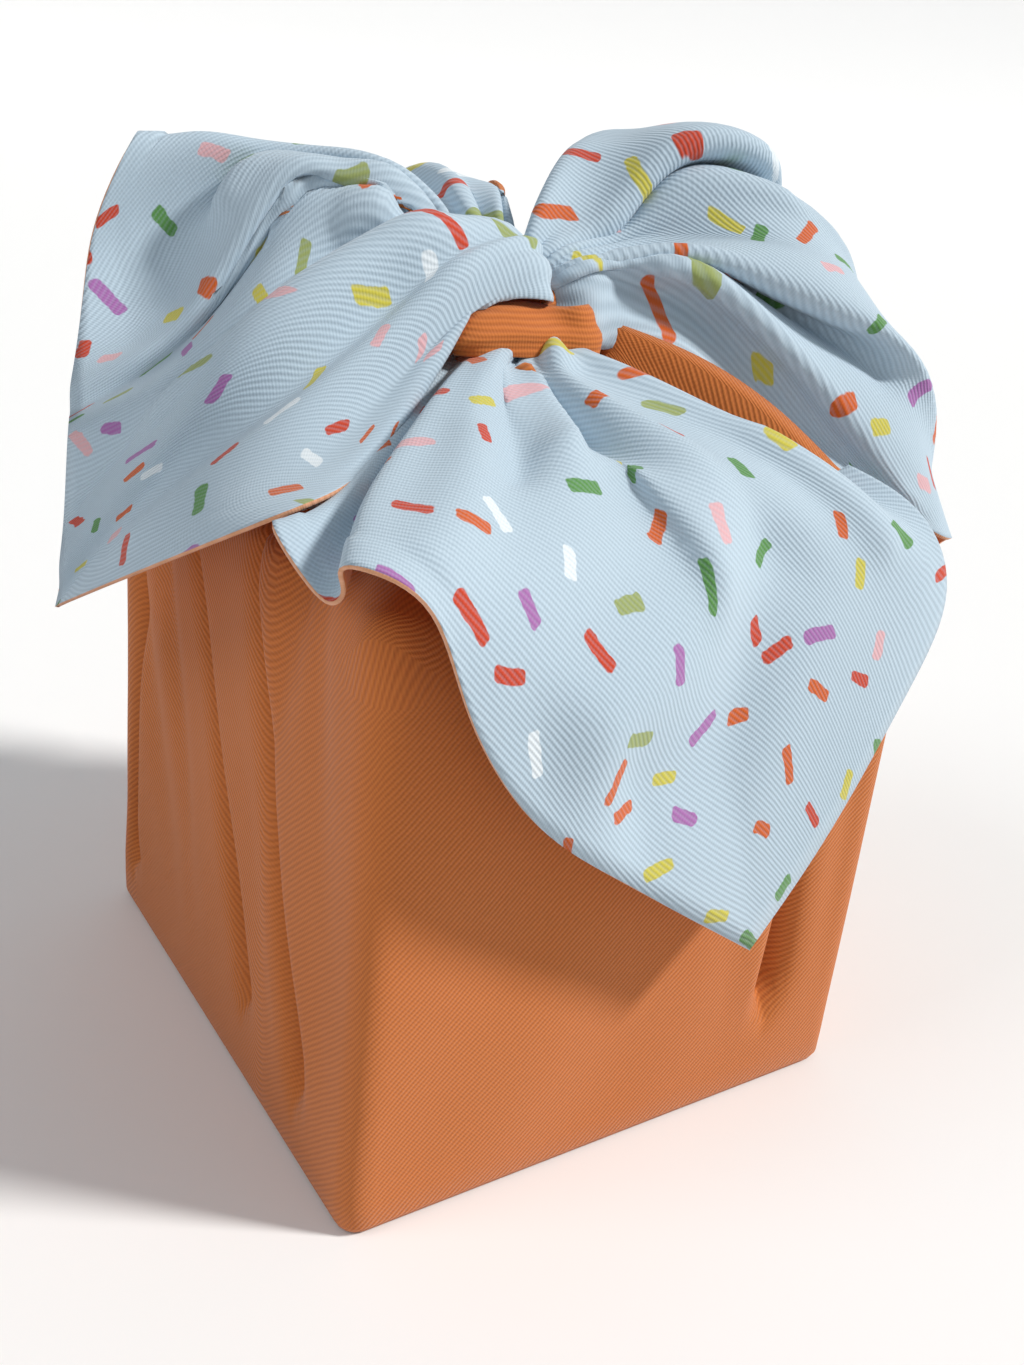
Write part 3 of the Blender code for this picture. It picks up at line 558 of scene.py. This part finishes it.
def creased(points, v, tail):
    """Each crease lowers the surface by its depth times a bell curve of the distance to its line, in
    the tail's own lengths, and fades over its two ends."""
    u = np.linspace(0, 1, len(points))[:, None]
    length = np.linalg.norm(np.diff(points, axis=0), axis=2).sum(axis=0).mean()
    breadth = np.linalg.norm(np.diff(points, axis=1), axis=2).sum(axis=1)[:, None]
    lowering = np.zeros(points.shape[:2])
    for name, _, u_from, v_from, u_to, v_to, depth, width in CREASES:
        if name != tail:
            continue
        share = ((u - u_from) * (u_to - u_from) + (v - v_from) * (v_to - v_from)) / \
            ((u_to - u_from) ** 2 + (v_to - v_from) ** 2)
        held = np.clip(share, 0, 1)
        away = np.hypot((u - u_from - held * (u_to - u_from)) * length,
                        (v - v_from - held * (v_to - v_from)) * breadth)
        lowering += depth * np.exp(-(away / width) ** 2)
    return points - normals(points) * lowering[:, :, None]


def opened_flat(points, corner, ribs_after):
    """Flat places of a fan of cloth, in mm: the distance from the knot, and the angle that its width
    takes at that distance, measured in its outer part, turned so that the ribs run along one hem."""
    reach = np.concatenate([[np.zeros(points.shape[1])],
                            np.cumsum(np.linalg.norm(np.diff(points, axis=0), axis=2), axis=0)])
    outer = slice(int(len(points) * 0.6), int(len(points) * 0.85))
    across = np.linalg.norm(np.diff(points[outer], axis=1), axis=2).mean(axis=0)
    radius = reach[outer].mean(axis=0)
    angle = np.concatenate([[0.0], np.cumsum(across / (radius[1:] + radius[:-1]) * 2)])
    flat = np.stack([reach * np.cos(angle), reach * np.sin(angle)], axis=2)
    step = (points.shape[1] - 1 - corner if ribs_after else corner) // 2
    hem = flat[-1, corner + step if ribs_after else corner - step] - flat[-1, corner]
    hem /= np.linalg.norm(hem)
    along, over = flat @ hem, flat @ np.array([-hem[1], hem[0]])
    return np.stack([along, over], axis=2)


def underside_out(points):
    """Whether the grid's normals point away from the knot in its outer rows. A tail's orange side is
    its underside."""
    outer = slice(-12, None)
    return normals(points)[outer].mean(axis=(0, 1)) @ (points[outer].mean(axis=(0, 1)) - KNOT_CENTRE) > 0


# The knot: its heart, and the band of cloth that goes round its front, orange side out. A row is a
# place along the band.
KNOT_RADII = np.array([8.5, 7.0, 7.0])
KNOT_BAND = (
    # place             top                    bulge                    under
    ("left end",     (-17, -6, 130),       (-18, -9, 128.8),       (-17, -9.5, 126.5)),
    ("left",         (-14, -6.5, 133),     (-15, -11, 130.2),      (-14.5, -12, 126.8)),
    ("left middle",  (-9, -7, 134.3),      (-10, -12, 131),        (-10, -13, 127)),
    ("middle",       (-3.5, -7, 134.6),    (-4.5, -12.4, 131),     (-5, -13.5, 126.7)),
    ("right middle", (1.5, -8.5, 133.8),   (1, -12.6, 130.3),      (0, -13.8, 125.8)),
    ("flare",        (4, -11, 134.2),      (4.6, -14, 129.5),      (3.6, -15.8, 123.6)),
    ("right end",    (6.8, -10, 134.2),    (7.6, -13.4, 129.5),    (6.2, -15.6, 123)),
    ("behind",       (8, -6, 132.6),       (9, -8, 129.5),         (8, -9, 125.5)),
)


def band_surface(table, across=34, along=14):
    """A band: splines along it through the rows, and from its top edge over its bulge to its lower."""
    stations = np.array([row[1:] for row in table], float)
    at = running(np.linalg.norm(np.diff(stations[:, 1], axis=0), axis=1))
    lines = spline(at, stations, np.linspace(0, 1, across))
    points = spline([0, 0.5, 1], lines.transpose(1, 0, 2), np.linspace(0, 1, along))
    u = np.linspace(0, 1, along)[:, None]
    wave = 0.22 * np.sin(2 * np.pi * (2.5 * u + 0.6 * np.linspace(0, 1, across)))
    return points + normals(points) * wave[:, :, None]


def heart_surface(across=36, along=20):
    """The heart of the knot: an ellipsoid whose radius waves a little round it, like pulled cloth."""
    turn = np.linspace(0, 2 * np.pi, across)
    tilt = np.linspace(-np.pi / 2, np.pi / 2, along)[:, None]
    swell = 1 + 0.05 * np.sin(7 * turn) * np.cos(tilt)
    ball = np.stack([np.cos(tilt) * np.cos(turn) * swell, np.cos(tilt) * np.sin(turn) * swell,
                     np.sin(tilt) * np.ones_like(turn)], axis=2)
    return KNOT_CENTRE + ball * KNOT_RADII


# Each surface is a grid of points, its flat places, the faces to leave out, and whether the faces are
# turned round, so that every face's front is the orange side.
bag_points, bag_flat, bag_cut = bag_surface()
surfaces = [(bag_points, bag_flat, bag_cut, False)]
for tail_name, tail_table, ribs_after in TAILS:
    tail_points, tail_corner, tail_v = fan(tail_table)
    tail_flat = opened_flat(tail_points, tail_corner, ribs_after)
    tail_points = creased(gathered(tail_points, tail_v, tail_name), tail_v, tail_name)
    surfaces.append((tail_points, tail_flat, None, underside_out(tail_points)))
band_points, heart_points = band_surface(KNOT_BAND), heart_surface()
surfaces.append((band_points, band_points[..., [0, 2]], None, True))
surfaces.append((heart_points, heart_points[..., [0, 2]], None, False))

all_points, all_flat, all_faces, first = [], [], [], 0
for points, flat, cut, turned in surfaces:
    rows, count = points.shape[:2]
    index = first + np.arange(rows * count).reshape(rows, count)
    corners = [index[:-1, :-1], index[:-1, 1:], index[1:, 1:], index[1:, :-1]]
    faces = np.stack(corners[::-1] if turned else corners, axis=2)
    if cut is not None:
        faces = faces[~cut]
    all_faces.append(faces.reshape(-1, 4))
    all_points.append(points.reshape(-1, 3))
    all_flat.append(flat.reshape(-1, 2))
    first += rows * count
all_points, all_flat = np.concatenate(all_points) / 1000, np.concatenate(all_flat) / 1000
all_faces = np.concatenate(all_faces)

cloth_mesh = bpy.data.meshes.new("cloth")
cloth_mesh.from_pydata(all_points.tolist(), [], all_faces.tolist())
cloth_uv = cloth_mesh.uv_layers.new(name="cloth")
cloth_uv.data.foreach_set("uv", all_flat[all_faces.reshape(-1)].reshape(-1).astype(np.float32))
welded = bmesh.new()
welded.from_mesh(cloth_mesh)
bmesh.ops.delete(welded, geom=[vert for vert in welded.verts if not vert.link_faces], context="VERTS")
bmesh.ops.remove_doubles(welded, verts=welded.verts, dist=1e-6)
bmesh.ops.dissolve_degenerate(welded, edges=welded.edges, dist=1e-7)
welded.to_mesh(cloth_mesh)
welded.free()
cloth_mesh.shade_smooth()
cloth = bpy.data.objects.new("cloth", cloth_mesh)
bpy.context.scene.collection.objects.link(cloth)
CLOTH_THICKNESS = 0.6
thickness = cloth.modifiers.new("thickness", "SOLIDIFY")
thickness.thickness = CLOTH_THICKNESS / 1000
thickness.offset = -1.0
thickness.material_offset = 1
thickness.material_offset_rim = 2

# The dyes on a rib, the same darkened by painted shade between two ribs, and where the cloth is a little
# worn, and the print's colours.
# From here on sizes are in metres.
ORANGE_RIB, ORANGE_GAP_PAINTED_SHADE, ORANGE_WORN = (0.60, 0.175, 0.035), (0.42, 0.110, 0.022), (0.74, 0.30, 0.13)
BLUE_RIB, BLUE_GAP_PAINTED_SHADE, BLUE_WORN = (0.49, 0.61, 0.71), (0.37, 0.475, 0.565), (0.72, 0.80, 0.84)
# On the cut edge too, the colour between two ribs is painted shade in the grooves.
EDGE_RIB, EDGE_GAP_PAINTED_SHADE = (0.70, 0.36, 0.22), (0.62, 0.30, 0.16)
ORANGE_WEAR, BLUE_WEAR, WEAR_SCALE = 0.16, 0.14, 22.0
FACE_ROUGHNESS, EDGE_ROUGHNESS = 0.86, 0.9
CONFETTI = (
    # from   colour
    (0.00, (0.60, 0.11, 0.015)),
    (0.20, (0.55, 0.055, 0.02)),
    (0.38, (0.58, 0.52, 0.07)),
    (0.50, (0.10, 0.27, 0.07)),
    (0.62, (0.31, 0.37, 0.13)),
    (0.69, (0.38, 0.15, 0.40)),
    (0.80, (0.72, 0.42, 0.45)),
    (0.90, (0.76, 0.82, 0.86)),
)
# The weave: pitches of the ribs and of the threads across them, how far the ribs wander, and how much
# of the relief each gives.
RIB_PITCH = 0.00082
THREAD_PITCH = RIB_PITCH * 0.62
RIB_WANDER, WANDER_SCALE, FIBRE_SCALE = 0.0009, 60.0, 2600.0
RIB_RELIEF, THREAD_RELIEF, FIBRE_RELIEF, MIDDLE_RELIEF = 0.36, 0.10, 0.35, 0.35
RELIEF_DEPTH, RELIEF_STRENGTH = 0.00022, 0.55
# The print: bars of a random half length between two sizes, with rounded ends and an uneven outline.
CONFETTI_CELL, CELL_RANDOMNESS = 0.0123, 0.72
BAR_HALF_LENGTH, BAR_LONGER, BAR_HALF_WIDTH = 0.0016, 0.0013, 0.0004
INK_FULL, INK_NONE = 0.00062, 0.00082
HAND_WANDER, HAND_SCALE = 0.0011, 420.0


def added(tree, kind, links=(), **settings):
    """A node with its settings, its sockets linked to others or set to numbers."""
    new = tree.nodes.new(kind)
    for name, value in settings.items():
        setattr(new, name, value)
    for socket, value in dict(links).items():
        if isinstance(value, bpy.types.NodeSocket):
            tree.links.new(value, new.inputs[socket])
        else:
            new.inputs[socket].default_value = value
    return new


def maths(tree, operation, first_value, second_value=0.0):
    """One step of arithmetic on two sockets or numbers."""
    return added(tree, "ShaderNodeMath", {0: first_value, 1: second_value}, operation=operation).outputs[0]


def arrows(tree, operation, links):
    """One step of arithmetic on vectors."""
    return added(tree, "ShaderNodeVectorMath", links, operation=operation).outputs[0]


def noise(tree, places, scale, detail, output=0):
    """Soft noise over the cloth's flat places, as a number or, from output 1, as a vector."""
    new = added(tree, "ShaderNodeTexNoise", {"Vector": places, "Scale": scale, "Detail": detail})
    return new.outputs[output]


def mixed(tree, share, low, high):
    """A mix of two colours by a share."""
    new = added(tree, "ShaderNodeMix", data_type="RGBA")
    for socket, value in (("Factor_Float", share), ("A_Color", low), ("B_Color", high)):
        target = next(entry for entry in new.inputs if entry.identifier == socket)
        if isinstance(value, bpy.types.NodeSocket):
            tree.links.new(value, target)
        else:
            target.default_value = (*value, 1.0)
    return next(entry for entry in new.outputs if entry.identifier == "Result_Color")


def weave(tree):
    """Ribs: a sine across the flat cloth with a slight wander, and a finer one along each rib for the
    threads that cross it. Gives the flat places and the height."""
    places = added(tree, "ShaderNodeUVMap", uv_map="cloth").outputs[0]
    split = added(tree, "ShaderNodeSeparateXYZ", {0: places})
    wander = maths(tree, "MULTIPLY", noise(tree, places, WANDER_SCALE, 2.0), RIB_WANDER)
    over = maths(tree, "ADD", split.outputs[1], wander)
    rib = maths(tree, "SINE", maths(tree, "MULTIPLY", over, 2 * np.pi / RIB_PITCH))
    thread = maths(tree, "SINE", maths(tree, "MULTIPLY", split.outputs[0], 2 * np.pi / THREAD_PITCH))
    fibre = noise(tree, places, FIBRE_SCALE, 3.0)
    height = maths(tree, "ADD", maths(tree, "MULTIPLY", rib, RIB_RELIEF),
                   maths(tree, "ADD", maths(tree, "MULTIPLY", thread, THREAD_RELIEF),
                         maths(tree, "MULTIPLY", fibre, FIBRE_RELIEF)))
    return places, maths(tree, "ADD", height, MIDDLE_RELIEF)


def dyed_with_painted_groove_shade(tree, places, height, gap, rib, worn, wear):
    """The dye, darkened between two ribs by painted shade in the grooves, and paler in soft patches of wear.
    """
    # The gap colour, painted shade in the grooves, is mixed in where the rib's height is low.
    plain = mixed(tree, maths(tree, "MULTIPLY", height, 1.15), gap, rib)
    return mixed(tree, maths(tree, "MULTIPLY", noise(tree, places, WEAR_SCALE, 4.0), wear), plain, worn)


def bar_ink(tree, places, height):
    """Confetti: the cloth is shared out in cells, and each holds one short bar, turned and sized at
    random. The ink is full as far as a small distance from the bar's middle line, and a little thinner
    between the ribs. Gives the ink and its colour."""
    uneven = arrows(tree, "SUBTRACT", {0: noise(tree, places, HAND_SCALE, 2.0, 1), 1: (0.5, 0.5, 0.5)})
    uneven = arrows(tree, "SCALE", {0: uneven, "Scale": HAND_WANDER})
    cells = added(tree, "ShaderNodeTexVoronoi", {"Vector": places, "Scale": 1 / CONFETTI_CELL,
                                                 "Randomness": CELL_RANDOMNESS}, voronoi_dimensions="2D")
    drawn = added(tree, "ShaderNodeSeparateColor", {0: cells.outputs["Color"]})
    from_middle = arrows(tree, "SUBTRACT", {0: arrows(tree, "ADD", {0: places, 1: uneven}),
                                            1: cells.outputs["Position"]})
    angle = maths(tree, "MULTIPLY", drawn.outputs[0], 2 * np.pi)
    turned_bar = added(tree, "ShaderNodeVectorRotate", {"Vector": from_middle, "Angle": angle},
                       rotation_type="Z_AXIS").outputs[0]
    bar = added(tree, "ShaderNodeSeparateXYZ", {0: turned_bar})
    half_length = maths(tree, "ADD", BAR_HALF_LENGTH, maths(tree, "MULTIPLY", drawn.outputs[2], BAR_LONGER))
    squares = []
    for output, half in ((bar.outputs[0], half_length), (bar.outputs[1], BAR_HALF_WIDTH)):
        past = maths(tree, "SUBTRACT", maths(tree, "ABSOLUTE", output), half)
        past = maths(tree, "MAXIMUM", past, 0.0)
        squares.append(maths(tree, "MULTIPLY", past, past))
    beyond = maths(tree, "SQRT", maths(tree, "ADD", *squares))
    inked = added(tree, "ShaderNodeMapRange", {"Value": beyond, "From Min": INK_FULL, "From Max": INK_NONE,
                                               "To Min": 1.0, "To Max": 0.0}).outputs[0]
    colours = added(tree, "ShaderNodeValToRGB", {0: drawn.outputs[1]})
    colours.color_ramp.interpolation = "CONSTANT"
    while len(colours.color_ramp.elements) < len(CONFETTI):
        colours.color_ramp.elements.new(0.5)
    for stop, (position, colour) in zip(colours.color_ramp.elements, CONFETTI):
        stop.position, stop.color = position, (*colour, 1.0)
    thin = maths(tree, "ADD", 0.78, maths(tree, "MULTIPLY", height, 0.3))
    return maths(tree, "MULTIPLY", inked, thin), colours.outputs[0]


def finished(tree, colour, height, roughness):
    """The cloth's surface: matt, with a little sheen and the ribs as relief."""
    surface = tree.nodes["Principled BSDF"]
    surface.inputs["Roughness"].default_value = roughness
    surface.inputs["Specular IOR Level"].default_value = 0.18
    surface.inputs["Sheen Weight"].default_value = 0.18
    surface.inputs["Sheen Roughness"].default_value = 0.5
    tree.links.new(colour, surface.inputs["Base Color"])
    relief = added(tree, "ShaderNodeBump", {"Height": height, "Strength": RELIEF_STRENGTH,
                                            "Distance": RELIEF_DEPTH})
    tree.links.new(relief.outputs[0], surface.inputs["Normal"])


def new_finish(name):
    """A material of the cloth, added to it as its next one. Gives its nodes."""
    finish = bpy.data.materials.new(name)
    finish.use_nodes = True
    cloth_mesh.materials.append(finish)
    return finish.node_tree


orange_side = new_finish("cloth, orange side")
places, height = weave(orange_side)
colour = dyed_with_painted_groove_shade(orange_side, places, height, ORANGE_GAP_PAINTED_SHADE, ORANGE_RIB, ORANGE_WORN, ORANGE_WEAR)
finished(orange_side, colour, height, FACE_ROUGHNESS)

blue_side = new_finish("cloth, blue side")
places, height = weave(blue_side)
colour = dyed_with_painted_groove_shade(blue_side, places, height, BLUE_GAP_PAINTED_SHADE, BLUE_RIB, BLUE_WORN, BLUE_WEAR)
ink, ink_colour = bar_ink(blue_side, places, height)
finished(blue_side, mixed(blue_side, ink, colour, ink_colour), height, FACE_ROUGHNESS)

cut_edge = new_finish("cloth, cut edge")
places, height = weave(cut_edge)
# The cut edge: darker between two ribs, painted shade in the grooves.
finished(cut_edge, mixed(cut_edge, height, EDGE_GAP_PAINTED_SHADE, EDGE_RIB), height, EDGE_ROUGHNESS)

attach(cloth, "root")
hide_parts("furoshiki")

# ---------------------------------------------------------------------------------------------------
# The studio: a plain pale floor that curves up far behind the object, a large soft light from the
# front right and above, a weak one from the left, and pale surroundings.
# ---------------------------------------------------------------------------------------------------
FLOOR_HALF, SWEEP_START, SWEEP_RADIUS, WALL_TOP = 6.0, 2.2, 1.2, 4.0
bend = np.linspace(0, np.pi / 2, 13)
floor_profile = np.concatenate([
    [[-FLOOR_HALF, 0.0]],
    np.stack([SWEEP_START + SWEEP_RADIUS * np.sin(bend), SWEEP_RADIUS * (1 - np.cos(bend))], axis=1),
    [[SWEEP_START + SWEEP_RADIUS, WALL_TOP]]])
away_from_camera, sideways = np.array([0.567, 0.824]), np.array([0.824, -0.567])
floor_points = np.array([[*(away_from_camera * away + sideways * side), high]
                         for away, high in floor_profile for side in (-FLOOR_HALF, FLOOR_HALF)])
floor_mesh = bpy.data.meshes.new("floor")
floor_mesh.from_pydata(floor_points.tolist(), [], [(row * 2 + 1, row * 2 + 3, row * 2 + 2, row * 2)
                                                   for row in range(len(floor_profile) - 1)])
floor_mesh.shade_smooth()
floor = bpy.data.objects.new("floor", floor_mesh)
bpy.context.scene.collection.objects.link(floor)
floor_paint = bpy.data.materials.new("floor")
floor_paint.use_nodes = True
floor_paint.node_tree.nodes["Principled BSDF"].inputs["Base Color"].default_value = (0.9, 0.9, 0.9, 1)
floor_paint.node_tree.nodes["Principled BSDF"].inputs["Roughness"].default_value = 0.9
floor_mesh.materials.append(floor_paint)

LIGHTS = (
    # light    comes from              spread  strength  colour
    ("key",  (0.62, -0.45, 0.66),         9.0,     3.1, (1.0, 0.975, 0.94)),
    ("rim",  (-0.7, 0.1, 0.70),          30.0,     0.6, (0.95, 0.97, 1.0)),
)
for light_name, comes_from, spread, strength, colour in LIGHTS:
    lamp = bpy.data.lights.new(light_name, "SUN")
    lamp.angle, lamp.energy, lamp.color = np.radians(spread), strength, colour
    light = bpy.data.objects.new(light_name, lamp)
    light.location = comes_from
    light.rotation_euler = Vector(comes_from).to_track_quat("Z", "Y").to_euler()
    bpy.context.scene.collection.objects.link(light)
SKY_COLOUR, SKY_STRENGTH = (0.93, 0.97, 1.0, 1), 0.31
surroundings = bpy.data.worlds.new("pale room")
bpy.context.scene.world = surroundings
surroundings.use_nodes = True
surroundings.node_tree.nodes["Background"].inputs["Color"].default_value = SKY_COLOUR
surroundings.node_tree.nodes["Background"].inputs["Strength"].default_value = SKY_STRENGTH
bpy.context.scene.view_settings.view_transform = "Standard"

# ---------------------------------------------------------------------------------------------------
# The camera, at the photograph's viewing angle: it looks from the front left and above, a little
# tilted, with the picture's centre in the middle.
# ---------------------------------------------------------------------------------------------------
CAMERA_PLACE = (-0.1276, -0.1953, 0.1716)
CAMERA_TURN, CAMERA_HEIGHT, CAMERA_ROLL = np.radians([-34.5382, 24.6664, 6.0884])
SENSOR_WIDTH, FOCAL_LENGTH = 36.0, 36.84
back = np.array([np.sin(CAMERA_TURN) * np.cos(CAMERA_HEIGHT), -np.cos(CAMERA_TURN) * np.cos(CAMERA_HEIGHT),
                 np.sin(CAMERA_HEIGHT)])
level = np.cross(-back, [0, 0, 1])
level /= np.linalg.norm(level)
upright = np.cross(level, -back)
right = np.cos(CAMERA_ROLL) * level + np.sin(CAMERA_ROLL) * upright
upward = np.cross(back, right)
lens = bpy.data.cameras.new("camera")
lens.sensor_width = SENSOR_WIDTH
lens.lens = FOCAL_LENGTH
camera = bpy.data.objects.new("camera", lens)
camera.location = CAMERA_PLACE
camera.rotation_euler = Matrix(np.stack([right, upward, back], axis=1).tolist()).to_euler()
bpy.context.scene.collection.objects.link(camera)
bpy.context.scene.camera = camera

bpy.context.view_layer.update()
